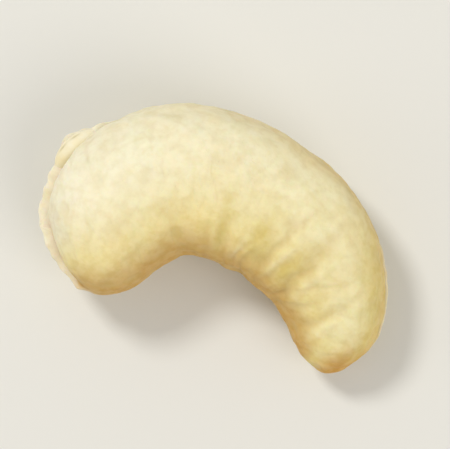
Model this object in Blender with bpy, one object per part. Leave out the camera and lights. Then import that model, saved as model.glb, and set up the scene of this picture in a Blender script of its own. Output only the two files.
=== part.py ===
"""A whole shelled cashew kernel, lying on its side.

The kernel grew as one body: two seed leaves pressed face to face and joined at the germ. Their seam runs as
a groove round the whole edge. Seen from above, the body bends round an open bay, from a blunt end, where the
germ's tip stands in the seam, to a slim end. The frame has +X from the blunt end to the slim end, +Y towards
the rounded back and +Z up through both seed leaves. The origin is under the middle of the kernel's box, on the
surface it lies on.
"""

from collections import namedtuple

import bmesh
import bpy
import numpy as np
from mathutils import Vector, noise

MM = 0.001  # every size below is in millimetres, and the mesh is written in metres

# The body is a loft through stations, from the blunt end to the slim end. back and bay are the two sides of
# the seam there, seen from above. seam is its height, and upper and lower are each seed leaf's height over half
# the body's width. back_step and bay_step are how far the upper seed leaf's edge stands back from the lower one's.
Station = namedtuple("Station", "back bay seam upper lower back_step bay_step")
STATIONS = (
    Station((-12.35, -4.60), (-12.35, -4.60), 5.15, 0.98, 0.98, 0.80, 0.80),
    Station((-12.90, -1.20), (-9.30, -7.45), 5.15, 0.98, 0.97, 0.85, 0.50),
    Station((-12.20, 1.65), (-6.05, -7.80), 5.20, 0.90, 0.90, 1.10, 0.05),
    Station((-10.15, 4.00), (-3.85, -5.95), 5.20, 0.91, 0.90, 0.25, 0.0),
    Station((-6.85, 6.45), (-2.25, -3.65), 5.20, 0.95, 0.94, 0.0, 0.0),
    Station((-2.00, 7.65), (-0.38, -2.92), 5.15, 1.00, 1.01, 0.0, 0.0),
    Station((3.05, 6.95), (1.80, -3.08), 4.98, 1.00, 0.99, 0.0, 0.0),
    Station((7.85, 5.15), (3.90, -3.65), 4.74, 0.98, 0.98, 0.0, 0.0),
    Station((11.55, 1.60), (5.75, -4.65), 4.12, 1.00, 1.00, 0.20, 0.0),
    Station((13.08, -2.40), (7.30, -6.15), 3.40, 1.05, 1.05, 0.45, 0.0),
    Station((12.95, -5.45), (9.00, -7.65), 3.05, 1.06, 1.05, 0.32, 0.05),
    Station((11.15, -7.83), (11.15, -7.83), 2.95, 1.06, 1.05, 0.10, 0.10),
)
STEP_SLOPE, STEP_FADE = 0.32, 2.4  # the heights over the seam at which a step is full, and has faded out

SECTION_POWER = 2.3  # 2 is an ellipse: above it, the flanks are fuller
BACK_FULLNESS = 0.06  # how much thicker the body is at its back than at its middle line

# The seam's groove. Beside a step of WIDE_STEP or more it runs SEAM_LIFT higher, at the upper seed leaf's foot.
SEAM_DEPTH, SEAM_DEPTH_AT_STEP, SEAM_HALF_WIDTH = 0.38, 0.20, 0.24
SEAM_LIFT, WIDE_STEP = 0.40, 0.60
LIP_HEIGHT, LIP_AWAY, LIP_WIDTH = 0.06, 0.75, 0.40  # the soft rim of each seed leaf beside the seam

# Two nibs stand in the seam, one at each corner of the blunt end. side is 1 for the back and -1 for the bay.
Nib = namedtuple("Nib", "station side height half_length half_thickness")
GERM_TIP = Nib(2.0, 1, 0.45, 1.30, 0.90)
HEEL = Nib(1.30, -1, 0.25, 0.50, 0.55)

# Creases fan out of the bay, as in the crook of an arm. Each leaves the seam at a station and leans by so
# many stations on its way up to the ridge line, where its reach would be 1.
Crease = namedtuple("Crease", "station lean reach depth half_width")
UPPER_CREASES = (
    Crease(3.3, -0.50, 0.95, 0.05, 0.55),
    Crease(4.3, -0.35, 1.10, 0.06, 0.45),
    Crease(5.0, -0.10, 0.85, 0.09, 0.35),
    Crease(5.5, 0.05, 1.30, 0.06, 0.45),
    Crease(6.1, 0.25, 0.80, 0.10, 0.30),
    Crease(6.6, 0.65, 1.25, 0.11, 0.35),
    Crease(7.3, 0.85, 1.15, 0.12, 0.30),
    Crease(7.8, 0.75, 0.85, 0.09, 0.30),
    Crease(8.5, 0.45, 0.85, 0.05, 0.40),
)
LOWER_CREASES = (
    Crease(3.8, -0.40, 0.90, 0.06, 0.50),
    Crease(4.7, -0.15, 1.15, 0.09, 0.40),
    Crease(5.3, 0.10, 0.80, 0.07, 0.35),
    Crease(6.2, 0.25, 1.20, 0.10, 0.40),
    Crease(7.1, 0.50, 1.10, 0.11, 0.35),
    Crease(7.8, 0.60, 0.85, 0.08, 0.30),
)
CREASE_START, CREASE_AT_SEAM = 0.25, 0.3  # the climb where a crease is fully deep, and its share at the seam

# Slow swells and small dimples keep the body from looking turned. place is where in the noise they are read.
Noise = namedtuple("Noise", "height spacing place")
SWELL = Noise(0.30, 6.5, Vector((3.1, 8.7, 1.9)))
DIMPLE = Noise(0.07, 1.9, Vector((5.3, 2.2, 7.4)))

REST_SINK = 0.14  # how far the round underside is pressed flat where it lies
CUTTER_SIDE, CUTTER_DEPTH = 60.0, 10.0

RINGS_PER_STATION = 8
CLOSE_RINGS = (0.25, 0.5)  # more rings beside each end point, in shares of the way to the first even one
RING_POINTS = 40
GATHERED, GATHERED_WIDTH = 0.80, 4.0  # how much a ring's points crowd to the seam, in full from this half width

FLESH_COLOUR = (0.80, 0.69, 0.38, 1.0)
FLESH_ROUGHNESS = 0.55


def closed_spline(points, at):
    """Reads the smooth closed curve through the points. Each number in at counts points along it."""
    points = np.asarray(points, float)
    count = len(points)
    one = np.eye(count)
    after, before = np.roll(points, -1, axis=0), np.roll(points, 1, axis=0)
    links = 4.0 * one + np.roll(one, 1, axis=0) + np.roll(one, -1, axis=0)
    bend = np.linalg.solve(links, 6.0 * (after - 2.0 * points + before))

    floor = np.floor(at)
    here = floor.astype(int) % count
    there = (here + 1) % count
    share = (at - floor).reshape((-1,) + (1,) * (points.ndim - 1))
    rest = 1.0 - share
    straight = rest * points[here] + share * points[there]
    return straight + ((rest**3 - rest) * bend[here] + (share**3 - share) * bend[there]) / 6.0


def both_sides(back_values, bay_values, at):
    """Reads a value that runs round the seam, out along the back and home along the bay, for both sides."""
    round_seam = list(back_values) + list(bay_values)[-2:0:-1]
    return closed_spline(round_seam, at), closed_spline(round_seam, -at)


def along_kernel(values, at):
    """Reads a value that is the same for both sides, so that it levels off at the ends."""
    return both_sides(values, values, at)[0]


def bump(distance, width):
    """A smooth hump, 1 at no distance and nearly 0 past twice the width."""
    return np.exp(-((distance / width) ** 2))


def ring_angles(half_width):
    """Angles round each section: 0 at the back's seam, over the top to half a turn at the bay's, and under."""
    even = 2.0 * np.pi * np.arange(RING_POINTS) / RING_POINTS
    gathered = GATHERED * np.minimum(half_width / GATHERED_WIDTH, 1.0)[:, None]
    return even - gathered * np.sin(2.0 * even) / 2.0


def smooth_body(at):
    """The body before its relief: rings of points, their angles and their heights over the seam."""
    back, bay = both_sides([s.back for s in STATIONS], [s.bay for s in STATIONS], at)
    middle, across = (back + bay) / 2.0, (back - bay) / 2.0
    half_width = np.linalg.norm(across, axis=1)
    seam = along_kernel([s.seam for s in STATIONS], at)
    upper = along_kernel([s.upper for s in STATIONS], at) * half_width
    lower = along_kernel([s.lower for s in STATIONS], at) * half_width

    angles = ring_angles(half_width)
    cos, sin = np.cos(angles), np.sin(angles)
    out = np.sign(cos) * np.abs(cos) ** (2.0 / SECTION_POWER)
    up = np.sign(sin) * np.abs(sin) ** (2.0 / SECTION_POWER)
    plan = middle[:, None, :] + out[:, :, None] * across[:, None, :]
    rise = np.where(up > 0.0, upper[:, None], lower[:, None]) * up * (1.0 + BACK_FULLNESS * out)
    return np.dstack([plan, seam[:, None] + rise]), angles, rise


def ring_places():
    """Where the rings are along the kernel, in stations, from the blunt end to the slim end."""
    last = len(STATIONS) - 1
    even = np.arange(last * RINGS_PER_STATION + 1) / RINGS_PER_STATION
    close = np.array(CLOSE_RINGS) / RINGS_PER_STATION
    return np.sort(np.concatenate([even, close, last - close]))


def facing(rings, lengthwise):
    """The unit normal at each point of the rings, all but the first and last, which are points."""
    wrapped = np.concatenate([rings[:, -1:], rings, rings[:, :1]], axis=1)
    round_ring = np.gradient(wrapped, axis=1)[:, 1:-1]
    normals = np.cross(round_ring, lengthwise)[1:-1]
    return normals / np.linalg.norm(normals, axis=2, keepdims=True)


def edge_relief(at, angles, rise):
    """Where the seed leaves meet: the step between their edges, the groove, and the soft lip on both its sides."""
    at_back, at_bay = both_sides([s.back_step for s in STATIONS], [s.bay_step for s in STATIONS], at)
    backness = (1.0 + np.cos(angles)) / 2.0
    step = np.maximum(at_back[:, None] * backness + at_bay[:, None] * (1.0 - backness), 0.0)
    climbed = np.clip(rise / STEP_SLOPE, 0.0, 1.0)
    stepped = step * climbed * climbed * (3.0 - 2.0 * climbed) * bump(rise, STEP_FADE)

    share = np.minimum(step / WIDE_STEP, 1.0)
    over = rise - SEAM_LIFT * share
    groove = (SEAM_DEPTH * (1.0 - share) + SEAM_DEPTH_AT_STEP * share) * bump(over, SEAM_HALF_WIDTH)
    return LIP_HEIGHT * bump(np.abs(over) - LIP_AWAY, LIP_WIDTH) - groove - stepped


def nib_height(nib, at, angles, rise, pace):
    """A small nose in the seam."""
    along = (at[:, None] - nib.station) * pace
    on_side = nib.side * np.cos(angles) > 0.0
    return nib.height * bump(along, nib.half_length) * bump(rise, nib.half_thickness) * on_side


def crease_depth(creases, at, angles, pace):
    """One seed leaf's creases together."""
    level = (angles + np.pi) % (2.0 * np.pi) - np.pi
    climb = (np.pi - np.abs(level)) / (np.pi / 2.0)  # 0 at the bay's seam, 1 at the ridge line
    depth = np.zeros_like(pace)
    for crease in creases:
        away = (at[:, None] - crease.station - crease.lean * climb) * pace
        left = np.clip(1.0 - climb / crease.reach, 0.0, 1.0)
        depth += crease.depth * bump(away, crease.half_width) * left * (2.0 - left)
    return depth * np.clip(climb / CREASE_START, CREASE_AT_SEAM, 1.0)


def swells(points):
    """The swells' and dimples' height at each point."""
    heights = [
        sum(n.height * noise.noise(Vector(point) / n.spacing + n.place) for n in (SWELL, DIMPLE))
        for point in points.reshape(-1, 3)
    ]
    return np.array(heights).reshape(points.shape[:2])


def carved_rings():
    """The body's rings with all their relief, without the two end points."""
    at = ring_places()
    rings, angles, rise = smooth_body(at)
    lengthwise = np.gradient(rings, at, axis=0)
    pace = np.linalg.norm(lengthwise, axis=2)  # millimetres to a station, at each point
    above = crease_depth(UPPER_CREASES, at, angles, pace)
    below = crease_depth(LOWER_CREASES, at, angles, pace)
    relief = edge_relief(at, angles, rise) + swells(rings) - np.where(rise > 0.0, above, below)
    relief += nib_height(GERM_TIP, at, angles, rise, pace) + nib_height(HEEL, at, angles, rise, pace)
    return rings[1:-1] + facing(rings, lengthwise) * relief[1:-1, :, None]


def end_point(first, second):
    """Where the groove's floor closes at an end, carried on from the two rings next to it."""
    opposite = RING_POINTS // 2
    near, far = (first[0] + first[opposite]) / 2.0, (second[0] + second[opposite]) / 2.0
    return (4.0 * near - far) / 3.0


def kernel_points():
    """The two end points and the rings between them in metres, placed on the surface that the kernel lies on."""
    rings = carved_rings()
    low, high = rings.min(axis=(0, 1)), rings.max(axis=(0, 1))
    origin = np.array([*(low + high)[:2] / 2.0, low[2] + REST_SINK])
    blunt, slim = end_point(rings[0], rings[1]), end_point(rings[-1], rings[-2])
    return (blunt - origin) * MM, (rings - origin) * MM, (slim - origin) * MM


def kernel_mesh():
    """Skins the rings and closes both ends."""
    blunt, rings, slim = kernel_points()
    body = bmesh.new()
    rows = [[body.verts.new(point) for point in ring] for ring in rings]
    blunt_tip, slim_tip = body.verts.new(blunt), body.verts.new(slim)
    for i in range(RING_POINTS):
        j = (i + 1) % RING_POINTS
        body.faces.new((blunt_tip, rows[0][j], rows[0][i]))
        body.faces.new((slim_tip, rows[-1][i], rows[-1][j]))
        for row, following in zip(rows, rows[1:]):
            body.faces.new((row[i], row[j], following[j], following[i]))
    bmesh.ops.recalc_face_normals(body, faces=body.faces)
    mesh = bpy.data.meshes.new("kernel")
    body.to_mesh(mesh)
    body.free()
    mesh.shade_smooth()
    return mesh


def flesh_material():
    """Pale cream, dull and a little waxy."""
    material = bpy.data.materials.new("kernel_flesh")
    material.use_nodes = True
    shader = material.node_tree.nodes["Principled BSDF"]
    shader.inputs["Base Color"].default_value = FLESH_COLOUR
    shader.inputs["Roughness"].default_value = FLESH_ROUGHNESS
    shader.inputs["Metallic"].default_value = 0.0
    return material


def rest_cutter(collection):
    """A block under the surface that the kernel lies on."""
    side, depth = CUTTER_SIDE * MM, CUTTER_DEPTH * MM
    bpy.ops.mesh.primitive_cube_add(size=1.0, location=(0.0, 0.0, -depth / 2.0), scale=(side, side, depth))
    cutter = bpy.context.active_object
    cutter.name = "rest_cutter"
    cutter.hide_render = True
    cutter.display_type = "WIRE"
    for holder in list(cutter.users_collection):
        holder.objects.unlink(cutter)
    collection.objects.link(cutter)
    return cutter


def main():
    for old in list(bpy.data.objects):
        bpy.data.objects.remove(old)
    parts = bpy.data.collections.new("cashew_kernel")
    cutters = bpy.data.collections.new("cutters")
    bpy.context.scene.collection.children.link(parts)
    bpy.context.scene.collection.children.link(cutters)

    kernel = bpy.data.objects.new("kernel", kernel_mesh())
    kernel.data.materials.append(flesh_material())
    parts.objects.link(kernel)

    rest = kernel.modifiers.new("rest_spot", "BOOLEAN")
    rest.operation = "DIFFERENCE"
    rest.solver = "EXACT"
    rest.object = rest_cutter(cutters)


main()
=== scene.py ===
"""Looks of a whole shelled cashew kernel, lying on its side on a pale table.

The kernel's fine skin repeats the stations, steps, nibs and creases that give the plain solid its
form, and adds what is too small for it: the hair-fine seam with its crimped lips, the wrinkles of
the bay, the marks that the brown skin's veins left, dents and pores. The germ's tip is a piece of
its own, set in the seam at the blunt end. Sizes are in millimetres until a mesh is written, which
is in metres.
"""

import logging
import math
from abc import ABC, abstractmethod
from collections.abc import Callable, Sequence
from dataclasses import dataclass, field
from enum import Enum

import bmesh
import bpy
import numpy as np
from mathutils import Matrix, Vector, noise


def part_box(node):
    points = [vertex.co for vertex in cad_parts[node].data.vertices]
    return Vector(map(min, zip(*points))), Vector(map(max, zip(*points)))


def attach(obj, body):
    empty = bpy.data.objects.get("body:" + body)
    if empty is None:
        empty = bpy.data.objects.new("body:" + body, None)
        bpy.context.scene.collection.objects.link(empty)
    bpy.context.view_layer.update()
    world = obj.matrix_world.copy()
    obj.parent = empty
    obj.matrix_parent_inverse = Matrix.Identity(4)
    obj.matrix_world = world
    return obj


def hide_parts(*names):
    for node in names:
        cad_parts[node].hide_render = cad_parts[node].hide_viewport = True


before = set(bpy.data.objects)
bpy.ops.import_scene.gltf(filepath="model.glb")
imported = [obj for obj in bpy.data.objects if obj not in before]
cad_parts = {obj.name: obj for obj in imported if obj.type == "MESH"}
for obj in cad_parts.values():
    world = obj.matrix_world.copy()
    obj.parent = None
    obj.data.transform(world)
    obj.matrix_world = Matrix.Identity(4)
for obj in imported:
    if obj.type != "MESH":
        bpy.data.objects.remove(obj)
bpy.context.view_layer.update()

LOG = logging.getLogger("cashew_kernel")
MM = 0.001
SEED = 27

Array = np.ndarray
Colour = tuple[float, float, float]
Point = tuple[float, float]
Span = tuple[float, float]
Socket = bpy.types.NodeSocket


def shade(red: int, green: int, blue: int) -> Colour:
    """A colour as the eye reads it on a screen, 0 to 255, as the linear light that a shader takes."""
    levels = (level / 255.0 for level in (red, green, blue))
    return tuple(x / 12.92 if x <= 0.04045 else ((x + 0.055) / 1.055) ** 2.4 for x in levels)


def bump(distance: Array, width: float | Array) -> Array:
    """A smooth hump, 1 at no distance and nearly 0 past twice the width."""
    return np.exp(-((distance / width) ** 2))


def smooth_step(values: Array, low: float, high: float) -> Array:
    """0 up to low, 1 from high on, and an easy rise between."""
    share = np.clip((values - low) / (high - low), 0.0, 1.0)
    return share * share * (3.0 - 2.0 * share)


def stretch(values: Array, start: float, full: float, fading: float, gone: float) -> Array:
    """0 up to start, 1 from full to fading, and 0 again from gone on."""
    return smooth_step(values, start, full) * (1.0 - smooth_step(values, fading, gone))


def closed_spline(points: Sequence[Point] | Sequence[float], at: Array) -> Array:
    """Reads the smooth closed curve through some points.

    Args:
        points: The values that the curve runs through, in order.
        at: Where to read it, counted in points. Numbers past the last point go round again.

    Returns:
        One value for each number in at.
    """
    values = np.asarray(points, float)
    count = len(values)
    one = np.eye(count)
    after, before = np.roll(values, -1, axis=0), np.roll(values, 1, axis=0)
    links = 4.0 * one + np.roll(one, 1, axis=0) + np.roll(one, -1, axis=0)
    bend = np.linalg.solve(links, 6.0 * (after - 2.0 * values + before))

    floor = np.floor(at)
    here = floor.astype(int) % count
    there = (here + 1) % count
    share = (at - floor).reshape((-1,) + (1,) * (values.ndim - 1))
    rest = 1.0 - share
    straight = rest * values[here] + share * values[there]
    return straight + ((rest**3 - rest) * bend[here] + (share**3 - share) * bend[there]) / 6.0


class Side(Enum):
    """Which long edge of the kernel something is on."""

    BACK = 1
    BAY = -1


class Leaf(Enum):
    """The two seed leaves, told apart by which side of the seam they fill."""

    UPPER = 1
    LOWER = -1


class Run(Enum):
    """Which way a family of fine lines runs."""

    LENGTHWISE = 0
    CROSSWISE = 1


@dataclass(frozen=True)
class Station:
    """One cross-section of the kernel's body.

    back and bay are the two sides of the seam, seen from above, and seam is its height. upper and
    lower are each seed leaf's height over half the body's width. back_step and bay_step are how far
    the upper seed leaf's edge stands back from the lower one's.
    """

    back: Point
    bay: Point
    seam: float
    upper: float
    lower: float
    back_step: float
    bay_step: float


@dataclass
class Skin:
    """The smooth body as a grid of points. Each row is a closed ring at one place along the kernel."""

    at: Array
    points: Array
    angles: Array
    rise: Array
    normals: Array = field(init=False)
    pace: Array = field(init=False)

    def __post_init__(self) -> None:
        """Works out the normals, and pace, how many millimetres one station spans at each point."""
        wrapped = np.concatenate([self.points[:, -1:], self.points, self.points[:, :1]], axis=1)
        round_ring = np.gradient(wrapped, axis=1)[:, 1:-1]
        normals = np.cross(round_ring, np.gradient(self.points, axis=0))
        lengths = np.linalg.norm(normals, axis=2, keepdims=True)
        self.normals = normals / np.maximum(lengths, np.finfo(float).tiny)
        self.pace = np.linalg.norm(np.gradient(self.points, self.at, axis=0), axis=2)

    @property
    def along(self) -> Array:
        """The place along the kernel, in stations, as a column."""
        return self.at[:, None]

    @property
    def climb(self) -> Array:
        """0 at the bay's seam, 1 at the ridge line over or under it, and 2 at the back's seam."""
        level = (self.angles + math.pi) % (2.0 * math.pi) - math.pi
        return 2.0 - 2.0 * np.abs(level) / math.pi

    @property
    def backness(self) -> Array:
        """1 at the back's seam and 0 at the bay's."""
        return (1.0 + np.cos(self.angles)) / 2.0

    @property
    def reach(self) -> Array:
        """How many millimetres of seam lie between the blunt end and each point, on its own side."""
        opposite = self.points.shape[1] // 2
        lengths = []
        for column in (0, opposite):
            steps = np.linalg.norm(np.diff(self.points[:, column], axis=0), axis=1)
            lengths.append(np.concatenate([[0.0], np.cumsum(steps)])[:, None])
        return np.where(self.backness > 0.5, lengths[0], lengths[1])

    def on(self, leaf: Leaf) -> Array:
        """True where a point belongs to that seed leaf."""
        return self.rise * leaf.value > 0.0


@dataclass(frozen=True)
class BodyForm:
    """The kernel's smooth form, lofted through its stations."""

    stations: tuple[Station, ...]
    section_power: float = 2.3
    back_fullness: float = 0.06

    @property
    def length(self) -> int:
        """The number of the last station."""
        return len(self.stations) - 1

    def both_sides(self, back: str, bay: str, at: Array) -> tuple[Array, Array]:
        """Reads a value that runs round the seam, along the back and then home along the bay.

        Args:
            back: The station's field on the back's side.
            bay: Its field on the bay's side.
            at: The places along the kernel, in stations.

        Returns:
            The value on the back's side and on the bay's side.
        """
        outward = [getattr(station, back) for station in self.stations]
        home = [getattr(station, bay) for station in self.stations[-2:0:-1]]
        return closed_spline(outward + home, at), closed_spline(outward + home, -at)

    def along(self, name: str, at: Array) -> Array:
        """Reads a value that both sides share, so that it levels off at the ends."""
        return self.both_sides(name, name, at)[0]

    def skin(self, rings_per_station: int, ring_points: int, gathered: float) -> Skin:
        """Lays a grid of points over the form.

        Args:
            rings_per_station: How many rings lie between two stations.
            ring_points: How many points a ring has.
            gathered: How far the points of a wide ring crowd towards the seam, from 0 to under 1.

        Returns:
            The smooth skin. Its first and last rings are the kernel's end points.
        """
        at = np.arange(self.length * rings_per_station + 1) / rings_per_station
        back, bay = self.both_sides("back", "bay", at)
        middle, across = (back + bay) / 2.0, (back - bay) / 2.0
        half_width = np.linalg.norm(across, axis=1)
        full_width = 4.0
        crowding = gathered * np.minimum(half_width / full_width, 1.0)[:, None]
        even = 2.0 * math.pi * np.arange(ring_points) / ring_points
        angles = even - crowding * np.sin(2.0 * even) / 2.0

        cos, sin = np.cos(angles), np.sin(angles)
        out = np.sign(cos) * np.abs(cos) ** (2.0 / self.section_power)
        up = np.sign(sin) * np.abs(sin) ** (2.0 / self.section_power)
        upper = (self.along("upper", at) * half_width)[:, None]
        lower = (self.along("lower", at) * half_width)[:, None]
        rise = np.where(up > 0.0, upper, lower) * up * (1.0 + self.back_fullness * out)
        plan = middle[:, None, :] + out[:, :, None] * across[:, None, :]
        height = self.along("seam", at)[:, None] + rise
        return Skin(at, np.dstack([plan, height]), angles, rise)


class Relief(ABC):
    """Something that raises or sinks the smooth skin."""

    @abstractmethod
    def height(self, skin: Skin) -> Array:
        """How far each point moves out along its normal, in millimetres."""


@dataclass(frozen=True)
class Ripple(Relief):
    """Smooth noise, read at each point of the skin. place is where in the noise it is read."""

    size: float
    spacing: float
    place: tuple[float, float, float]

    def height(self, skin: Skin) -> Array:
        """The noise's height."""
        return self.size * self.read(skin.points)

    def read(self, points: Array) -> Array:
        """The noise itself, about -1 to 1, at points with any leading dimensions."""
        spread = points.reshape(-1, 3) / self.spacing + np.array(self.place)
        levels = [noise.noise(Vector(point)) for point in spread.tolist()]
        return np.array(levels).reshape(points.shape[:-1])


@dataclass(frozen=True)
class Shelf(Relief):
    """The lower seed leaf's rim at both ends, which shows because the upper one's edge stands back.

    The upper edge is steep at the blunt end and slopes softly at the slim end.
    """

    form: BodyForm
    slope: float = 0.32
    soft_slope: float = 1.10
    fade: float = 2.4
    full: float = 0.6
    softens: Span = (5.0, 8.0)
    ragged: Ripple = Ripple(0.28, 1.1, (5.0, 7.0, 1.0))

    def width(self, skin: Skin) -> Array:
        """How far the upper seed leaf's edge stands back."""
        at_back, at_bay = self.form.both_sides("back_step", "bay_step", skin.at)
        step = at_back[:, None] * skin.backness + at_bay[:, None] * (1.0 - skin.backness)
        return np.maximum(step, 0.0)

    def share(self, skin: Skin) -> Array:
        """1 where the shelf is wide and 0 where there is none."""
        return np.clip(self.width(skin) / self.full, 0.0, 1.0)

    def height(self, skin: Skin) -> Array:
        """The upper seed leaf's edge, set back a little unevenly."""
        width = self.width(skin) * (1.0 + self.ragged.height(skin))
        slope = self.slope + (self.soft_slope - self.slope) * smooth_step(skin.along, *self.softens)
        return -width * smooth_step(skin.rise / slope, 0.0, 1.0) * bump(skin.rise, self.fade)


@dataclass(frozen=True)
class Scallops(Relief):
    """The blunt end's rim, which the shell pressed into a row of small round bumps."""

    shelf: Shelf
    size: float = 0.10
    spacing: float = 1.30
    under: float = 0.20
    half_thickness: float = 0.62
    fades: Span = (4.0, 7.0)
    unevenness: Ripple = Ripple(0.40, 2.1, (1.0, 9.0, 4.0))

    def height(self, skin: Skin) -> Array:
        """The bumps, round on top and softly hollow between."""
        turn = math.pi * (skin.reach / self.spacing + self.unevenness.height(skin))
        humps = np.cos(turn) ** 2 - 0.5
        on_rim = self.shelf.share(skin) * bump(skin.rise + self.under, self.half_thickness)
        return self.size * humps * on_rim * (1.0 - smooth_step(skin.along, *self.fades))


@dataclass(frozen=True)
class Seam(Relief):
    """The line between the seed leaves: a hair-fine groove that wanders and nearly closes here and there.

    Where there is a shelf, the line lies on its inner side, at the foot of the upper seed leaf's
    edge. Soft lips run beside it.
    """

    shelf: Shelf
    depth: float = 0.30
    depth_on_shelf: float = 0.14
    half_width: float = 0.085
    lift: float = 0.40
    lip: float = 0.05
    lip_away: float = 0.70
    lip_width: float = 0.45
    crimp: float = 0.028
    crimp_away: float = 0.35
    crimp_width: float = 0.35
    least_open: float = 0.25
    opens: Span = (-0.25, 0.20)
    wander: Ripple = Ripple(0.09, 2.6, (4.0, 1.0, 6.0))
    breathing: Ripple = Ripple(0.35, 1.7, (9.0, 5.0, 2.0))
    opening: Ripple = Ripple(1.0, 2.2, (6.0, 2.0, 9.0))
    crimping: Ripple = Ripple(1.0, 0.55, (2.0, 8.0, 3.0))

    def away(self, skin: Skin) -> Array:
        """How far over the line a point is."""
        return skin.rise - self.lift * self.shelf.share(skin) - self.wander.height(skin)

    def groove(self, skin: Skin) -> Array:
        """1 on the groove's floor where it is open, fading to 0 at its lips."""
        share = smooth_step(self.opening.height(skin), *self.opens)
        open_share = self.least_open + (1.0 - self.least_open) * share
        width = self.half_width * (1.0 + self.breathing.height(skin))
        return open_share * bump(self.away(skin), width)

    def height(self, skin: Skin) -> Array:
        """The groove, the lips and the crimps on them."""
        away = np.abs(self.away(skin))
        share = self.shelf.share(skin)
        depth = self.depth * (1.0 - share) + self.depth_on_shelf * share
        lips = self.lip * bump(away - self.lip_away, self.lip_width)
        crimps = self.crimp * self.crimping.height(skin) * bump(away - self.crimp_away, self.crimp_width)
        return lips + crimps - depth * self.groove(skin)


@dataclass(frozen=True)
class Nib(Relief):
    """A small nose in the seam."""

    station: float
    side: Side
    size: float
    half_length: float
    half_thickness: float

    def height(self, skin: Skin) -> Array:
        """The nose's height."""
        along = (skin.along - self.station) * skin.pace
        on_side = self.side.value * np.cos(skin.angles) > 0.0
        return self.size * bump(along, self.half_length) * bump(skin.rise, self.half_thickness) * on_side


@dataclass(frozen=True)
class Crease:
    """One crease out of the bay. lean is in stations up to the ridge line, where reach would be 1."""

    station: float
    lean: float
    reach: float
    depth: float
    half_width: float


@dataclass(frozen=True)
class CreaseFan(Relief):
    """The creases of one seed leaf, which fan out of the bay as in the crook of an arm."""

    leaf: Leaf
    creases: tuple[Crease, ...]
    start: float = 0.25
    at_seam: float = 0.3
    raised: float = 0.0
    ridge_aside: float = 2.0
    bend: Ripple = Ripple(0.14, 1.3, (1.0, 2.0, 5.0))

    def _sum(self, skin: Skin, aside: float) -> Array:
        """The creases' depths together, each read so many of its half widths aside."""
        climb = skin.climb
        wavy = skin.along + self.bend.height(skin)
        depth = np.zeros_like(skin.pace)
        for crease in self.creases:
            away = (wavy - crease.station - crease.lean * climb) * skin.pace - aside * crease.half_width
            left = np.clip(1.0 - climb / crease.reach, 0.0, 1.0)
            depth += crease.depth * bump(away, crease.half_width) * left * (2.0 - left)
        return depth * np.clip(climb / self.start, self.at_seam, 1.0) * skin.on(self.leaf)

    def depth(self, skin: Skin) -> Array:
        """How deep the creases are together."""
        return self._sum(skin, 0.0)

    def height(self, skin: Skin) -> Array:
        """The creases, sunk into the skin, each with a soft ridge on the slim end's side."""
        if self.raised == 0.0:
            return -self.depth(skin)
        return self.raised * self._sum(skin, self.ridge_aside) - self.depth(skin)


@dataclass(frozen=True)
class Wrinkles:
    """The fine wrinkles between one seed leaf's main creases, which fan out from the station upright."""

    leaf: Leaf
    count: int = 28
    stations: Span = (3.4, 8.8)
    upright: float = 5.3
    lean: float = 0.28
    lean_spread: float = 0.25
    reaches: Span = (0.35, 1.15)
    depths: Span = (0.012, 0.035)
    half_widths: Span = (0.09, 0.20)
    start: float = 0.12

    def fan(self, draw: np.random.Generator) -> CreaseFan:
        """Draws the wrinkles.

        Args:
            draw: The seeded source of their places and sizes.

        Returns:
            The fan of wrinkles.
        """
        creases = []
        for _ in range(self.count):
            station = draw.uniform(*self.stations)
            creases.append(Crease(
                station=station,
                lean=(self.lean * (station - self.upright)
                      + draw.uniform(-self.lean_spread, self.lean_spread)),
                reach=draw.uniform(*self.reaches),
                depth=draw.uniform(*self.depths),
                half_width=draw.uniform(*self.half_widths),
            ))
        return CreaseFan(self.leaf, tuple(creases), start=self.start)


@dataclass(frozen=True)
class Veins(Relief):
    """Faint lengthwise marks that the brown skin's veins left, on both seed leaves."""

    count: int = 9
    depth: float = 0.022
    half_width: float = 0.10
    first_climb: float = 0.35
    climb_span: float = 1.45
    shows: Span = (-0.05, 0.35)
    wander: Ripple = Ripple(0.16, 5.0, (7.0, 3.0, 8.0))
    presence: Ripple = Ripple(1.0, 3.4, (3.0, 6.0, 1.0))

    def height(self, skin: Skin) -> Array:
        """The marks, each at its own climb, strong in some places and gone in others."""
        climb = skin.climb + self.wander.height(skin)
        across = np.linalg.norm(np.gradient(skin.points, axis=1), axis=2)
        pace = across / np.maximum(np.abs(np.gradient(skin.climb, axis=1)), 1e-6)
        marks = np.zeros_like(climb)
        for i in range(self.count):
            at = self.first_climb + self.climb_span * i / (self.count - 1)
            marks += bump((climb - at) * pace, self.half_width)
        return -self.depth * marks * smooth_step(self.presence.height(skin), *self.shows)


@dataclass(frozen=True)
class Crinkles(Relief):
    """Faint wandering lines that come and go, where the flesh shrank as it dried."""

    run: Run
    spacing: float
    depth: float
    half_width: float
    wander: Ripple
    presence: Ripple
    climb_length: float = 6.5
    shows: Span = (0.02, 0.38)

    def share(self, skin: Skin) -> Array:
        """1 on the middle of a strong line and 0 off the lines."""
        if self.run is Run.LENGTHWISE:
            across = skin.climb * self.climb_length
        else:
            across = np.broadcast_to(skin.reach.mean(axis=1, keepdims=True), skin.rise.shape)
        turns = across / self.spacing + self.wander.height(skin)
        nearest = np.abs(turns - np.round(turns)) * self.spacing
        return bump(nearest, self.half_width) * smooth_step(self.presence.height(skin), *self.shows)

    def height(self, skin: Skin) -> Array:
        """The lines, sunk into the skin."""
        return -self.depth * self.share(skin)


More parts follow.
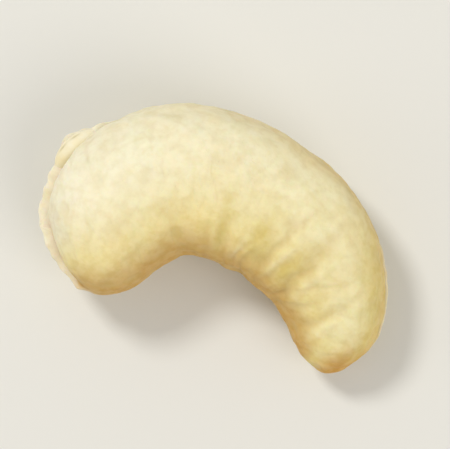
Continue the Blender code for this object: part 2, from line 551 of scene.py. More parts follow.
@dataclass(frozen=True)
class Dents(Relief):
    """Shallow round dents, scattered over all the skin but one part in so many at each end."""

    count: int
    depths: Span
    half_widths: Span
    seed: int
    bare_share: int = 20
    rim_height: float = 0.25
    rim_away: float = 1.5
    rim_width: float = 0.5

    def depth(self, skin: Skin) -> Array:
        """How deep the dents are together. Each has a raised rim, given in shares of its own size."""
        draw = np.random.default_rng(self.seed)
        rings, sides = skin.rise.shape
        bare = rings // self.bare_share
        depth = np.zeros_like(skin.rise)
        for _ in range(self.count):
            row, column = draw.integers(bare, rings - bare), draw.integers(0, sides)
            width, deepest = draw.uniform(*self.half_widths), draw.uniform(*self.depths)
            away = np.linalg.norm(skin.points - skin.points[row, column], axis=2)
            rim = self.rim_height * bump(away - self.rim_away * width, self.rim_width * width)
            depth += deepest * (bump(away, width) - rim)
        return depth

    def height(self, skin: Skin) -> Array:
        """The dents, sunk into the skin."""
        return -self.depth(skin)


@dataclass(frozen=True)
class Patch:
    """A soft patch of painted shade in a fold, or of painted highlight on the ridge beside it, on the upper
    seed leaf. It leans by so many stations for each unit of climb.
    """

    strength: float
    station: float
    half_length: float
    climb: float
    half_height: float
    lean: float = 0.0

    def share(self, skin: Skin) -> Array:
        """How much of the colour each point takes."""
        along = skin.along - self.station - self.lean * skin.climb
        across = skin.climb - self.climb
        return self.strength * bump(along, self.half_length) * bump(across, self.half_height)


FORM = BodyForm(stations=(
    Station((-12.35, -4.60), (-12.35, -4.60), 5.15, 0.98, 0.98, 0.80, 0.80),
    Station((-12.90, -1.20), (-9.30, -7.45), 5.15, 0.98, 0.97, 0.85, 0.50),
    Station((-12.20, 1.65), (-6.05, -7.80), 5.20, 0.90, 0.90, 1.10, 0.05),
    Station((-10.15, 4.00), (-3.85, -5.95), 5.20, 0.91, 0.90, 0.25, 0.0),
    Station((-6.85, 6.45), (-2.25, -3.65), 5.20, 0.95, 0.94, 0.0, 0.0),
    Station((-2.00, 7.65), (-0.38, -2.92), 5.15, 1.00, 1.01, 0.0, 0.0),
    Station((3.05, 6.95), (1.80, -3.08), 4.98, 1.00, 0.99, 0.0, 0.0),
    Station((7.85, 5.15), (3.90, -3.65), 4.74, 0.98, 0.98, 0.0, 0.0),
    Station((11.55, 1.60), (5.75, -4.65), 4.12, 1.00, 1.00, 0.20, 0.0),
    Station((13.08, -2.40), (7.30, -6.15), 3.40, 1.05, 1.05, 0.45, 0.0),
    Station((12.95, -5.45), (9.00, -7.65), 3.05, 1.06, 1.05, 0.32, 0.05),
    Station((11.15, -7.83), (11.15, -7.83), 2.95, 1.06, 1.05, 0.10, 0.10),
))
UPPER_CREASES = CreaseFan(Leaf.UPPER, (
    Crease(3.3, -0.50, 0.95, 0.05, 0.55),
    Crease(4.3, -0.35, 1.10, 0.06, 0.45),
    Crease(5.0, -0.10, 0.85, 0.09, 0.35),
    Crease(5.5, 0.05, 1.30, 0.06, 0.45),
    Crease(6.1, 0.25, 0.80, 0.10, 0.30),
    Crease(6.6, 0.65, 1.25, 0.11, 0.35),
    Crease(7.3, 0.85, 1.15, 0.12, 0.30),
    Crease(7.8, 0.75, 0.85, 0.09, 0.30),
    Crease(8.5, 0.45, 0.85, 0.05, 0.40),
))
LOWER_CREASES = CreaseFan(Leaf.LOWER, (
    Crease(3.8, -0.40, 0.90, 0.06, 0.50),
    Crease(4.7, -0.15, 1.15, 0.09, 0.40),
    Crease(5.3, 0.10, 0.80, 0.07, 0.35),
    Crease(6.2, 0.25, 1.20, 0.10, 0.40),
    Crease(7.1, 0.50, 1.10, 0.11, 0.35),
    Crease(7.8, 0.60, 0.85, 0.08, 0.30),
))
FINE_FOLDS = CreaseFan(Leaf.UPPER, (
    Crease(4.45, -0.05, 1.00, 0.06, 0.34),
    Crease(5.30, 0.00, 1.05, 0.12, 0.45),
    Crease(5.68, 0.48, 1.00, 0.11, 0.28),
    Crease(6.05, 0.48, 0.95, 0.09, 0.26),
    Crease(6.40, 0.36, 1.40, 0.26, 0.46),
    Crease(6.95, 0.15, 0.90, 0.12, 0.30),
    Crease(7.82, -0.36, 1.45, 0.26, 0.46),
    Crease(8.45, -0.20, 1.20, 0.05, 0.36),
    Crease(9.08, -0.40, 1.55, 0.17, 0.48),
), start=0.65, at_seam=0.0, raised=0.40)
# Where painted shade darkens the folds of the slim limb, and then where a painted highlight makes the ridges
# beside them pale.
FOLD_SHADE_PATCHES = (
    Patch(0.9, 5.30, 0.15, 0.60, 0.28),
    Patch(0.8, 6.25, 0.26, 0.74, 0.24),
    Patch(0.8, 7.22, 0.28, 0.72, 0.24),
)
RIDGE_HIGHLIGHT_PATCHES = (
    Patch(0.7, 9.42, 0.20, 0.92, 0.32, -0.40),
    Patch(0.5, 6.68, 0.09, 0.78, 0.30, 0.36),
    Patch(0.5, 8.12, 0.10, 0.84, 0.30, -0.36),
    Patch(0.4, 5.60, 0.08, 0.58, 0.20, 0.48),
)
GERM_NIB = Nib(2.0, Side.BACK, 0.45, 1.30, 0.90)
HEEL_NIB = Nib(1.30, Side.BAY, 0.25, 0.50, 0.55)
SWELL = Ripple(0.30, 6.5, (3.1, 8.7, 1.9))
DIMPLE = Ripple(0.07, 1.9, (5.3, 2.2, 7.4))


class Wiring:
    """Adds nodes to one node tree and links them."""

    def __init__(self, tree: bpy.types.NodeTree) -> None:
        """Keeps the tree."""
        self.tree = tree

    def add(self, kind: str, values: dict | None = None, **settings: object) -> bpy.types.Node:
        """Adds a node.

        Args:
            kind: The node's type, without the leading word ShaderNode.
            values: Its inputs, by name or number: a socket is linked, and anything else is set.
            **settings: The node's own properties.

        Returns:
            The node.
        """
        node = self.tree.nodes.new("ShaderNode" + kind)
        for name, setting in settings.items():
            setattr(node, name, setting)
        for key, value in (values or {}).items():
            self.feed(node.inputs[key], value)
        return node

    def feed(self, target: Socket, value: object) -> None:
        """Links a socket to an input, or sets the input's own value. A colour gets full alpha."""
        if isinstance(value, Socket):
            self.tree.links.new(value, target)
        elif isinstance(value, tuple) and target.type == "RGBA":
            target.default_value = (*value, 1.0)
        else:
            target.default_value = value

    def maths(self, operation: str, *values: float | Socket, clamp: bool = False) -> Socket:
        """One step of arithmetic."""
        node = self.add("Math", dict(enumerate(values)), operation=operation, use_clamp=clamp)
        return node.outputs[0]

    def blend(self, share: float | Socket, under: object, over: object, kind: str = "MIX") -> Socket:
        """Lays one colour over another by a share."""
        factor, first, second, result = 0, 6, 7, 2
        node = self.add("Mix", data_type="RGBA", blend_type=kind)
        self.feed(node.inputs[factor], share)
        self.feed(node.inputs[first], under)
        self.feed(node.inputs[second], over)
        return node.outputs[result]

    def between(self, value: Socket, low: float, high: float, least: float = 0.0,
                most: float = 1.0) -> Socket:
        """Eases a value from one range into another."""
        values = {"Value": value, 1: low, 2: high, 3: least, 4: most}
        return self.add("MapRange", values, interpolation_type="SMOOTHSTEP").outputs["Result"]

    def mask(self, name: str) -> Socket:
        """Reads one of the skin's own masks."""
        return self.add("Attribute", attribute_name=name).outputs["Fac"]

    def place(self) -> Socket:
        """The place on the object, in millimetres."""
        coordinates = self.add("TexCoord").outputs["Object"]
        return self.add("VectorMath", {0: coordinates, 3: 1.0 / MM}, operation="SCALE").outputs[0]

    def cloud(self, place: Socket, spacing: float, detail: float = 3.0) -> Socket:
        """Soft noise about 0.5, whose features lie so many millimetres apart."""
        values = {"Vector": place, "Scale": 1.0 / spacing, "Detail": detail}
        return self.add("TexNoise", values).outputs["Fac"]


# The mottle's three clouds: spacing in millimetres, detail, and where a patch starts and is full.
PATCHES = ((2.4, 2.0, 0.36, 0.70), (0.85, 3.0, 0.36, 0.68), (0.36, 3.0, 0.40, 0.70))
PALENESS = 0.35
GRAIN_SPACING = 0.16
SCUFF_SPACING = 0.55
PORE_SPACING = 1.0 / 2.6
PORE_SHARE = 0.16
RAGGED_SPACING = 0.5
DRIFT_SPACING = 3.0
DRIFT = (0.10, -0.05)
# TAN is the slim tip's own tan, and also the painted shade on the steep flanks.
TAN = shade(228, 194, 112)
SHADOW = shade(208, 186, 122)


class Effect(Enum):
    """The shader effects that the kernel's finishes share."""

    MOTTLE = "Mottle"
    WAXY_GRAIN = "Waxy grain"
    # Painted shade in hollows.
    PAINTED_HOLLOW_SHADE = "Painted hollow shade"


class EffectShelf:
    """Builds each shared effect once, as a node group, and places it in materials."""

    def __init__(self) -> None:
        """Starts with no group made."""
        self.groups: dict[Effect, bpy.types.NodeTree] = {}
        self.makers: dict[Effect, Callable[[], bpy.types.NodeTree]] = {
            Effect.MOTTLE: self._mottle,
            Effect.WAXY_GRAIN: self._waxy_grain,
            Effect.PAINTED_HOLLOW_SHADE: self._painted_hollow_shade,
        }

    def place(self, wiring: Wiring, effect: Effect, values: dict[str, object]) -> bpy.types.Node:
        """Puts an effect in a material.

        Args:
            wiring: The material's wiring.
            effect: Which effect.
            values: The group's inputs by name.

        Returns:
            The group's node.
        """
        if effect not in self.groups:
            self.groups[effect] = self.makers[effect]()
        node = wiring.add("Group", node_tree=self.groups[effect])
        for name, value in values.items():
            wiring.feed(node.inputs[name], value)
        return node

    @staticmethod
    def _start(effect: Effect, takes: dict[str, str],
               gives: dict[str, str]) -> tuple[Wiring, Callable, Callable]:
        """Opens a new group.

        Args:
            effect: The effect that it holds.
            takes: Its inputs, each with its socket's type.
            gives: Its outputs, each with its socket's type.

        Returns:
            The group's wiring, a function that reads an input, and one that sends a socket to an output.
        """
        tree = bpy.data.node_groups.new(effect.value, "ShaderNodeTree")
        for name, kind in takes.items():
            tree.interface.new_socket(name=name, in_out="INPUT", socket_type="NodeSocket" + kind)
        for name, kind in gives.items():
            tree.interface.new_socket(name=name, in_out="OUTPUT", socket_type="NodeSocket" + kind)
        inward, outward = tree.nodes.new("NodeGroupInput"), tree.nodes.new("NodeGroupOutput")

        def read(name: str) -> Socket:
            """The group's input of that name."""
            return inward.outputs[name]

        def send(name: str, socket: Socket) -> None:
            """Links a socket to the group's output of that name."""
            tree.links.new(socket, outward.inputs[name])

        return Wiring(tree), read, send

    def _mottle(self) -> bpy.types.NodeTree:
        """Cloudy patches at three sizes, which lighten a colour and tint it with warmth and a blush."""
        takes = {"Colour": "Color", "Warm": "Color", "Pale": "Color", "Blush": "Color", "Amount": "Float"}
        wiring, read, send = self._start(Effect.MOTTLE, takes, {"Colour": "Color"})
        place = wiring.place()
        wide, middling, small = (wiring.between(wiring.cloud(place, spacing, detail), low, high)
                                 for spacing, detail, low, high in PATCHES)
        patches = wiring.maths("MULTIPLY_ADD", small, 0.5, middling)
        warm = wiring.maths("MULTIPLY", patches, read("Amount"), clamp=True)
        pale = wiring.maths("MULTIPLY", wiring.maths("SUBTRACT", 1.0, middling), read("Amount"))
        blush = wiring.maths("MULTIPLY", wide, read("Amount"))
        colour = wiring.blend(blush, read("Colour"), read("Blush"), "MULTIPLY")
        colour = wiring.blend(warm, colour, read("Warm"), "MULTIPLY")
        send("Colour", wiring.blend(wiring.maths("MULTIPLY", pale, PALENESS), colour, read("Pale")))
        return wiring.tree

    def _waxy_grain(self) -> bpy.types.NodeTree:
        """The skin's finest relief and the way its polish varies: pores, a fine grain and small scuffs."""
        takes = {"Roughness": "Float", "Spread": "Float", "Depth": "Float"}
        gives = {"Roughness": "Float", "Normal": "Vector"}
        wiring, read, send = self._start(Effect.WAXY_GRAIN, takes, gives)
        place = wiring.place()
        grain = wiring.cloud(place, GRAIN_SPACING, 4.0)
        ripple = wiring.cloud(place, SCUFF_SPACING)
        cells = wiring.add("TexVoronoi", {"Vector": place, "Scale": 1.0 / PORE_SPACING, "Randomness": 1.0})
        pores = wiring.between(cells.outputs["Distance"], 0.0, PORE_SHARE, -1.0, 0.0)
        relief = wiring.maths("ADD", wiring.maths("MULTIPLY", grain, 0.5), ripple)
        relief = wiring.maths("ADD", relief, pores)
        normal = wiring.add("Bump", {"Strength": 1.0, "Distance": read("Depth"), "Height": relief})
        uneven = wiring.maths("MULTIPLY", wiring.maths("SUBTRACT", ripple, 0.5), read("Spread"))
        send("Roughness", wiring.maths("ADD", read("Roughness"), uneven, clamp=True))
        send("Normal", normal.outputs["Normal"])
        return wiring.tree

    def _painted_hollow_shade(self) -> bpy.types.NodeTree:
        """Painted shade: darkens the colour towards a tint where the skin is sunk, with a ragged edge."""
        takes = {"Colour": "Color", "Tint": "Color", "Hollow": "Float", "Amount": "Float"}
        wiring, read, send = self._start(Effect.PAINTED_HOLLOW_SHADE, takes, {"Colour": "Color"})
        ragged = wiring.maths("MULTIPLY_ADD", wiring.cloud(wiring.place(), RAGGED_SPACING), 0.8, 0.6)
        hollow = wiring.maths("MULTIPLY", read("Hollow"), ragged)
        share = wiring.maths("MULTIPLY", hollow, read("Amount"), clamp=True)
        send("Colour", wiring.blend(share, read("Colour"), read("Tint")))
        return wiring.tree


def new_material(name: str) -> tuple[bpy.types.Material, Wiring, bpy.types.Node]:
    """Opens a material, and gives it, its wiring and its shader."""
    material = bpy.data.materials.new(name)
    material.use_nodes = True
    return material, Wiring(material.node_tree), material.node_tree.nodes["Principled BSDF"]


@dataclass(frozen=True)
class Polish:
    """How a surface shines: its roughness and how far that varies, its grain's depth, and its gloss."""

    roughness: float
    unevenness: float
    grain_depth: float
    specular: float

    def apply(self, shelf: EffectShelf, wiring: Wiring, shader: bpy.types.Node) -> None:
        """Gives a shader its roughness, its finest relief and its gloss.

        Args:
            shelf: Where the shared effects come from.
            wiring: The material's wiring.
            shader: Its shader.
        """
        skin = shelf.place(wiring, Effect.WAXY_GRAIN, {
            "Roughness": self.roughness, "Spread": self.unevenness, "Depth": self.grain_depth})
        wiring.feed(shader.inputs["Roughness"], skin.outputs["Roughness"])
        wiring.feed(shader.inputs["Normal"], skin.outputs["Normal"])
        shader.inputs["Specular IOR Level"].default_value = self.specular


@dataclass(frozen=True)
class Wash:
    """One colour laid over the flesh, where a mask rises from low to high, and there by the share most."""

    mask: str
    colour: Colour
    low: float
    high: float
    most: float


@dataclass(frozen=True)
class FleshFinish:
    """Raw nut flesh: ivory at the blunt end, straw along the slim limb and tan at its tip, with painted
    shade on the steep flanks, at the bay's edge and in the folds and hollows, and painted highlights on the
    ridges beside the folds.
    """

    ivory: Colour = shade(246, 240, 215)
    washes: tuple[Wash, ...] = (
        Wash("lengthwise", shade(243, 233, 185), 0.12, 0.85, 1.0),
        # Painted shade: tan on the steep flanks, which turn away from the light.
        Wash("flank", TAN, 0.05, 0.95, 0.80),
        Wash("lengthwise", TAN, 0.84, 0.93, 0.6),
        Wash("lengthwise", shade(206, 150, 48), 0.87, 0.97, 0.85),
        Wash("bayside", shade(240, 222, 152), 0.05, 0.60, 0.85),
        # Painted shade: darker honey at the bay's very edge.
        Wash("bayside", shade(209, 166, 84), 0.50, 0.98, 1.0),
    )
    marks: tuple[tuple[str, Colour], ...] = (
        # Painted shade in the slim limb's folds and in a band along its outer edge, a painted highlight on
        # the ridges beside the folds, and the rim's own pale colour.
        ("fold", shade(217, 196, 116)),
        ("band", shade(228, 204, 114)),
        ("ridge", shade(250, 240, 194)),
        ("rim", shade(250, 241, 218)),
    )
    hollow_shades: tuple[tuple[str, Colour, float], ...] = (
        # Painted shade in the dents, the crinkles and the crease hollows; in the seam's groove, the brown of
        # left-over skin with painted shade at the foot of the upper seed leaf's edge.
        ("dent", SHADOW, 0.24),
        ("crinkle", SHADOW, 0.18),
        ("hollow", shade(200, 168, 98), 0.5),
        ("groove", shade(158, 126, 82), 0.6),
    )
    warm: Colour = shade(228, 219, 190)
    pale: Colour = shade(250, 244, 216)
    blush: Colour = shade(252, 241, 230)
    mottling: float = 0.25
    polish: Polish = Polish(0.58, 0.25, 0.020 * MM, 0.28)
    subsurface: float = 0.30
    subsurface_scale: float = 1.0 * MM
    subsurface_radius: Colour = (1.0, 0.62, 0.24)

    def material(self, shelf: EffectShelf) -> bpy.types.Material:
        """Builds the material.

        Args:
            shelf: Where the shared effects come from.

        Returns:
            The finished material.
        """
        material, wiring, shader = new_material("kernel_flesh")
        drift = wiring.maths("MULTIPLY_ADD", wiring.cloud(wiring.place(), DRIFT_SPACING), *DRIFT)
        colour = self.ivory
        for wash in self.washes:
            level = wiring.maths("ADD", wiring.mask(wash.mask), drift)
            share = wiring.between(level, wash.low, wash.high, 0.0, wash.most)
            colour = wiring.blend(share, colour, wash.colour)
        for name, tint in self.marks:
            colour = wiring.blend(wiring.mask(name), colour, tint)
        colour = shelf.place(wiring, Effect.MOTTLE, {
            "Colour": colour, "Warm": self.warm, "Pale": self.pale, "Blush": self.blush,
            "Amount": self.mottling}).outputs["Colour"]
        for name, tint, amount in self.hollow_shades:
            values = {"Colour": colour, "Tint": tint, "Hollow": wiring.mask(name), "Amount": amount}
            colour = shelf.place(wiring, Effect.PAINTED_HOLLOW_SHADE, values).outputs["Colour"]
        wiring.feed(shader.inputs["Base Color"], colour)
        self.polish.apply(shelf, wiring, shader)
        shader.inputs["Subsurface Weight"].default_value = self.subsurface
        shader.inputs["Subsurface Scale"].default_value = self.subsurface_scale
        shader.inputs["Subsurface Radius"].default_value = self.subsurface_radius
        return material


@dataclass(frozen=True)
class GermFinish:
    """The germ's tip: as pale as the rim, with painted shade in its furrows and against the upper seed leaf.
    """

    cream: Colour = shade(249, 240, 212)
    crown: Colour = shade(251, 244, 220)
    # Painted shade in the furrows and against the upper seed leaf.
    shade_tint: Colour = shade(206, 190, 142)
    mottling: float = 0.4
    darkening: float = 0.8
    polish: Polish = Polish(0.50, 0.2, 0.010 * MM, 0.45)

    def material(self, shelf: EffectShelf) -> bpy.types.Material:
        """Builds the material.

        Args:
            shelf: Where the shared effects come from.

        Returns:
            The finished material.
        """
        material, wiring, shader = new_material("germ_tip")
        colour = wiring.blend(wiring.mask("crown"), self.cream, self.crown)
        mottled = shelf.place(wiring, Effect.MOTTLE, {
            "Colour": colour, "Warm": self.crown, "Pale": self.crown, "Blush": self.crown,
            "Amount": self.mottling}).outputs["Colour"]
        values = {"Colour": mottled, "Tint": self.shade_tint, "Hollow": wiring.mask("hollow"),
                  "Amount": self.darkening}
        sunk = shelf.place(wiring, Effect.PAINTED_HOLLOW_SHADE, values)
        wiring.feed(shader.inputs["Base Color"], sunk.outputs["Colour"])
        self.polish.apply(shelf, wiring, shader)
        return material


def put(name: str, data: bpy.types.ID) -> bpy.types.Object:
    """Puts a mesh, a light or a camera in the scene, as an object."""
    thing = bpy.data.objects.new(name, data)
    bpy.context.scene.collection.objects.link(thing)
    return thing


def write_mask(mesh: bpy.types.Mesh, name: str, values: Array) -> None:
    """Stores one number for each of a mesh's points, which a material reads by name."""
    layer = mesh.attributes.new(name, "FLOAT", "POINT")
    layer.data.foreach_set("value", np.ascontiguousarray(values, np.float32).ravel())


@dataclass
class KernelBody:
    """The kernel's whole skin, both seed leaves, in one closed mesh that replaces the plain solid."""

    form: BodyForm = FORM
    finish: FleshFinish = FleshFinish()
    rings_per_station: int = 38
    ring_points: int = 224
    gathered: float = 0.72
    rest_sink: float = 0.14
    seam: Seam = Seam(Shelf(FORM))
    origin: Array = field(init=False)
    skin: Skin = field(init=False)
    carved: Array = field(init=False)

    def __post_init__(self) -> None:
        """Lays the smooth skin and gathers all that carves it."""
        draw = np.random.default_rng(SEED)
        self.skin = self.form.skin(self.rings_per_station, self.ring_points, self.gathered)
        self.fans = (
            UPPER_CREASES,
            LOWER_CREASES,
            FINE_FOLDS,
            Wrinkles(Leaf.UPPER).fan(draw),
            Wrinkles(Leaf.LOWER).fan(draw),
        )
        self.dents = Dents(96, (0.025, 0.075), (0.35, 0.85), SEED)
        self.crinkles = (
            Crinkles(Run.LENGTHWISE, 1.35, 0.024, 0.15,
                     Ripple(1.10, 2.6, (4.0, 3.0, 8.0)), Ripple(1.0, 2.1, (9.0, 2.0, 6.0))),
            Crinkles(Run.CROSSWISE, 1.75, 0.020, 0.15,
                     Ripple(1.30, 2.7, (1.0, 7.0, 3.0)), Ripple(1.0, 1.9, (2.0, 9.0, 5.0))),
        )
        self.reliefs = (
            self.seam,
            self.seam.shelf,
            Scallops(self.seam.shelf),
            GERM_NIB,
            HEEL_NIB,
            SWELL,
            DIMPLE,
            Ripple(0.110, 1.50, (6.0, 4.0, 9.0)),
            Ripple(0.046, 0.78, (8.0, 1.0, 4.0)),
            Ripple(0.012, 0.34, (2.0, 5.0, 7.0)),
            Veins(),
            self.dents,
            *self.crinkles,
            Dents(90, (0.015, 0.045), (0.10, 0.22), SEED + 1),
        )

    def build(self) -> bpy.types.Object:
        """Carves the skin and makes the piece.

        Returns:
            The piece, in place and in the row's frame.
        """
        relief = sum(part.height(self.skin) for part in (*self.reliefs, *self.fans))
        self.carved = self.skin.points + self.skin.normals * relief[:, :, None]
        rings = self.carved[1:-1]
        low, high = rings.min(axis=(0, 1)), rings.max(axis=(0, 1))
        middle = (np.array(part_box("kernel")[0]) + np.array(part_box("kernel")[1])) / 2.0 / MM
        self.origin = np.array([*((low + high) / 2.0 - middle)[:2], low[2] + self.rest_sink])
        mesh = self._mesh(self.placed(rings), self.placed(self._end(1)), self.placed(self._end(-1)))
        self._write_masks(mesh)
        return put("kernel_skin", mesh)

    def dress(self, piece: bpy.types.Object, shelf: EffectShelf) -> None:
        """Gives the piece its finish and its place in the model."""
        piece.data.materials.append(self.finish.material(shelf))
        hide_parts("kernel")
        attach(piece, "root")

    def placed(self, points: Array) -> Array:
        """Moves points of the form, in millimetres, to where the kernel lies, pressed on the table."""
        moved = points - self.origin
        moved[..., 2] = np.maximum(moved[..., 2], 0.0)
        return moved

    def seat(self, nib: Nib) -> tuple[Array, Array, Array]:
        """Where a nib is.

        Args:
            nib: The nib.

        Returns:
            The skin there at the seam's height, the way out of the seam, and the way along it, all in
            the piece's millimetres.
        """
        row = round(nib.station * self.rings_per_station)
        column = 0 if nib.side is Side.BACK else self.ring_points // 2
        along = self.skin.points[row + 1, column] - self.skin.points[row - 1, column]
        place, outward = self.placed(self.carved[row, column]), self.skin.normals[row, column]
        return place, outward, along / np.linalg.norm(along)

    def _end(self, step: int) -> Array:
        """Where the groove's floor closes at an end, carried on from the two rings next to it.

        Args:
            step: 1 for the blunt end and -1 for the slim end.

        Returns:
            The end point.
        """
        opposite = self.ring_points // 2
        first = 1 if step > 0 else -2
        near, far = (self.carved[row, 0] + self.carved[row, opposite] for row in (first, first + step))
        return (4.0 * near / 2.0 - far / 2.0) / 3.0

    def _mesh(self, rings: Array, blunt: Array, slim: Array) -> bpy.types.Mesh:
        """Skins the rings and closes both ends.

        Args:
            rings: The rings of points.
            blunt: The blunt end's point.
            slim: The slim end's point.

        Returns:
            The mesh, in metres. Its points are the rings', in order, and then the two ends.
        """
        count, sides = rings.shape[:2]
        points = np.concatenate([rings.reshape(-1, 3), [blunt, slim]]) * MM
        row, column = np.meshgrid(np.arange(count - 1), np.arange(sides), indexing="ij")
        after = (column + 1) % sides
        corners = np.stack([row * sides + column, row * sides + after,
                            (row + 1) * sides + after, (row + 1) * sides + column], axis=-1)
        faces = corners.reshape(-1, 4).tolist()
        last = (count - 1) * sides
        for i in range(sides):
            j = (i + 1) % sides
            faces.append([count * sides, j, i])
            faces.append([count * sides + 1, last + i, last + j])
        mesh = bpy.data.meshes.new("kernel_skin")
        mesh.from_pydata(points.tolist(), [], faces)
        body = bmesh.new()
        body.from_mesh(mesh)
        bmesh.ops.recalc_face_normals(body, faces=body.faces)
        body.to_mesh(mesh)
        body.free()
        mesh.shade_smooth()
        return mesh

    def _write_masks(self, mesh: bpy.types.Mesh) -> None:
        """Stores where the skin is slim, sunk, steep, in the bay, on the rim or in the seam, and where the
        flesh gets painted shade and painted highlight.
        """
        skin = self.skin
        deepest, deepest_dent, full_turn = 0.24, 0.06, 1.5
        hollow = sum(fan.depth(skin) for fan in self.fans) / deepest
        in_bay = stretch(skin.along, 0.2, 1.5, 9.4, 10.9)
        on_slim_limb = stretch(skin.along, 6.8, 8.4, 9.8, 10.8)
        at_blunt_end = 1.0 - smooth_step(skin.along, 4.0, 7.0)
        on_upper = skin.on(Leaf.UPPER)
        over, shelf = self.seam.away(skin), self.seam.shelf.share(skin)
        rim = shelf * smooth_step(-over, 0.0, 0.12) * smooth_step(over, -2.2, -0.6)
        # Painted shade at the foot of the upper seed leaf's edge, near the blunt end; it joins the groove's
        # mask.
        foot = shelf * bump(over + 0.13, 0.12) * at_blunt_end
        # Painted shade on the steep flanks, with less of it on the back near the blunt end.
        steepness = 1.0 - np.abs(skin.normals[:, :, 2])
        ivory_back = skin.backness * (1.0 - smooth_step(skin.along, 3.0, 9.0))
        # flank, band, fold, hollow, dent and crinkle place painted shade, and so does bayside at the bay's
        # very edge; ridge places a painted highlight; groove places the seam's brown of left-over skin and
        # painted shade at the wall's foot.
        masks = {
            "lengthwise": np.broadcast_to(skin.along / self.form.length, skin.rise.shape),
            "flank": smooth_step(steepness, 0.10, 1.0) * (1.0 - 0.8 * ivory_back),
            "hollow": np.clip(hollow, 0.0, 1.0),
            "bayside": (1.0 - smooth_step(skin.climb, 0.0, full_turn)) * in_bay,
            "rim": rim * (1.0 - 0.6 * smooth_step(skin.along, 8.5, 10.0)),
            # Painted shade: a darker band along the slim limb's outer edge, just inside the rim.
            "band": 0.75 * on_slim_limb * bump(skin.climb - 1.56, 0.28) * on_upper,
            "ridge": sum(patch.share(skin) for patch in RIDGE_HIGHLIGHT_PATCHES) * on_upper,
            "fold": sum(patch.share(skin) for patch in FOLD_SHADE_PATCHES) * on_upper,
            "dent": np.clip(self.dents.depth(skin) / deepest_dent, 0.0, 1.0),
            "crinkle": np.clip(sum(lines.share(skin) for lines in self.crinkles), 0.0, 1.0),
            "groove": np.clip(self.seam.groove(skin) + 0.40 * foot, 0.0, 1.0),
        }
        for name, values in masks.items():
            inner = values[1:-1].ravel()
            write_mask(mesh, name, np.concatenate([inner, [values[1, 0], values[-2, 0]]]))


@dataclass
class GermTip:
    """The germ's tip, a small smooth ridge between the upper seed leaf's edge and the lower one's rim."""

    seat: tuple[Array, Array, Array]
    finish: GermFinish = GermFinish()
    half_length: float = 2.00
    half_depth: float = 0.80
    half_height: float = 0.50
    out: float = -1.05
    up: float = 0.10
    taper: float = 0.10
    sunk_ends: float = 0.22
    furrow_depth: float = 0.035
    furrow_half_width: float = 0.16
    furrow_turn: float = 0.62
    furrow_places: tuple[float, ...] = (-0.34, 0.26)
    furrow_half_length: float = 0.19
    leaf_shade: float = 0.7
    leaf_shade_rises: Span = (-0.25, 0.40)
    crown_rises: Span = (-0.2, 0.8)
    segments: int = 96
    turns: int = 64

    def build(self) -> bpy.types.Object:
        """Shapes a ball into the tapered nub and sets it in the seam.

        Returns:
            The piece.
        """
        body = bmesh.new()
        bmesh.ops.create_uvsphere(body, u_segments=self.segments, v_segments=self.turns, radius=1.0)
        unit = np.array([vertex.co for vertex in body.verts])
        shaped, hollow, crown = self._shape(unit)
        for vertex, place in zip(body.verts, shaped * MM):
            vertex.co = place
        mesh = bpy.data.meshes.new("germ_tip")
        body.to_mesh(mesh)
        body.free()
        mesh.shade_smooth()
        write_mask(mesh, "hollow", hollow)
        write_mask(mesh, "crown", crown)
        return put("germ_tip", mesh)

    def dress(self, piece: bpy.types.Object, shelf: EffectShelf) -> None:
        """Gives the piece its finish and its place in the model."""
        piece.data.materials.append(self.finish.material(shelf))
        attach(piece, "root")

    def _shape(self, unit: Array) -> tuple[Array, Array, Array]:
        """Turns points of a unit ball into the nub's.

        Args:
            unit: The ball's points. Its axis becomes the nub's length.

        Returns:
            The points in millimetres, how deep each lies in a furrow or against the upper seed leaf,
            which is where painted shade goes, and how near the crown it is.
        """
        floor, outward, along = self.seat
        upward = np.array([0.0, 0.0, 1.0])
        turn = np.arctan2(unit[:, 1], unit[:, 0])
        along_furrow = sum(bump(unit[:, 2] - place, self.furrow_half_length)
                           for place in self.furrow_places)
        valley = bump(turn - self.furrow_turn, self.furrow_half_width) * along_furrow
        girth = (1.0 - self.taper * unit[:, 2]) * (1.0 - self.furrow_depth * valley / self.half_height)
        sunk = self.sunk_ends * unit[:, 2:] ** 2
        middle = floor + (self.out - sunk) * outward + (self.up - sunk) * upward
        shaped = (middle
                  + self.half_length * unit[:, 2:] * along
                  + self.half_depth * (unit[:, 0] * girth)[:, None] * outward
                  + self.half_height * (unit[:, 1] * girth)[:, None] * upward)
        # Painted shade: the furrows and the side that lies against the upper seed leaf.
        hollow = valley + self.leaf_shade * smooth_step(-unit[:, 0], *self.leaf_shade_rises)
        return shaped, np.clip(hollow, 0.0, 1.0), smooth_step(unit[:, 2], *self.crown_rises)


@dataclass(frozen=True)
class Lamp:
    """One soft light. bearing is clockwise from the picture's top, and lean is down from overhead."""

    name: str
    power: float
    size: float
    distance: float
    bearing: float
    lean: float
    colour: Colour = (1.0, 1.0, 1.0)


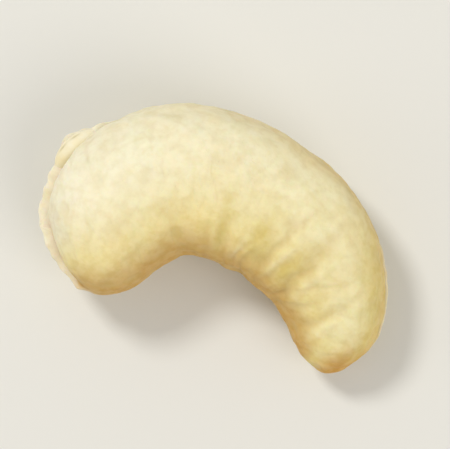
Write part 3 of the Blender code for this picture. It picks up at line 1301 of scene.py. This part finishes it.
@dataclass(frozen=True)
class Studio:
    """The table, the lights and the camera. The camera looks straight down, as the photograph's does."""

    turn: float = 19.2
    view_width: float = 33.0
    lens: float = 300.0
    sensor: float = 36.0
    table_side: float = 1.2
    table: Colour = shade(228, 226, 221)
    air: Colour = (1.0, 0.985, 0.94)
    air_strength: float = 0.47
    backdrop_strength: float = 0.70
    lamps: tuple[Lamp, ...] = (
        Lamp("key", 1.06, 0.11, 0.50, -42.0, 36.0, (0.995, 1.0, 0.97)),
        Lamp("side", 0.16, 0.25, 0.50, -95.0, 64.0, (1.0, 1.0, 0.97)),
        Lamp("fill", 0.93, 0.40, 0.55, 130.0, 42.0, (1.0, 0.99, 0.95)),
    )

    def build(self) -> None:
        """Makes the table, the air's glow, the lights and the camera."""
        self._table()
        self._air()
        for lamp in self.lamps:
            self._lamp(lamp)
        self._camera()

    def _table(self) -> None:
        """A plain pale table top at the height that the kernel rests on."""
        half = self.table_side / 2.0
        mesh = bpy.data.meshes.new("table")
        corners = [(-half, -half, 0.0), (half, -half, 0.0), (half, half, 0.0), (-half, half, 0.0)]
        mesh.from_pydata(corners, [], [(0, 1, 2, 3)])
        table = put("table", mesh)
        material, _, shader = new_material("table")
        shader.inputs["Base Color"].default_value = (*self.table, 1.0)
        shader.inputs["Roughness"].default_value = 0.85
        table.data.materials.append(material)

    def _air(self) -> None:
        """An even glow from all round, behind which the camera sees a paler backdrop."""
        world = bpy.data.worlds.new("studio")
        world.use_nodes = True
        background = world.node_tree.nodes["Background"]
        background.inputs["Color"].default_value = (*self.air, 1.0)
        wiring = Wiring(world.node_tree)
        seen = wiring.add("LightPath").outputs["Is Camera Ray"]
        more = self.backdrop_strength - self.air_strength
        strength = wiring.maths("MULTIPLY_ADD", seen, more, self.air_strength)
        wiring.feed(background.inputs["Strength"], strength)
        bpy.context.scene.world = world

    def _lamp(self, lamp: Lamp) -> None:
        """Hangs one soft light, turned to the kernel."""
        data = bpy.data.lights.new(lamp.name, "AREA")
        data.shape = "DISK"
        data.size = lamp.size
        data.energy = lamp.power
        data.color = lamp.colour
        bearing, lean = math.radians(self.turn - lamp.bearing), math.radians(lamp.lean)
        level = Vector((-math.sin(bearing), math.cos(bearing), 0.0))
        light = put(lamp.name, data)
        light.location = lamp.distance * (math.sin(lean) * level + math.cos(lean) * Vector((0.0, 0.0, 1.0)))
        light.rotation_euler = light.location.to_track_quat("Z", "Y").to_euler()

    def _camera(self) -> None:
        """Straight overhead, turned so that the kernel lies as in the photograph."""
        data = bpy.data.cameras.new("camera")
        data.lens = self.lens
        data.sensor_width = self.sensor
        data.clip_start = 1.0 * MM
        camera = put("camera", data)
        camera.location = (0.0, 0.0, self.lens / self.sensor * self.view_width * MM)
        camera.rotation_euler = (0.0, 0.0, math.radians(self.turn))
        bpy.context.scene.camera = camera


def report(piece: bpy.types.Object) -> None:
    """Says how large a finished piece is."""
    sides = " x ".join(f"{side / MM:.2f}" for side in piece.dimensions)
    LOG.info("%s: %d faces, %s mm", piece.name, len(piece.data.polygons), sides)


def main() -> None:
    """Builds the studio and the kernel."""
    logging.basicConfig(level=logging.INFO, format="%(name)s: %(message)s")
    bpy.context.scene.view_settings.view_transform = "Standard"
    Studio().build()
    shelf = EffectShelf()

    body = KernelBody()
    skin = body.build()
    body.dress(skin, shelf)
    report(skin)

    germ = GermTip(body.seat(GERM_NIB))
    tip = germ.build()
    germ.dress(tip, shelf)
    report(tip)


if __name__ == "__main__":
    main()
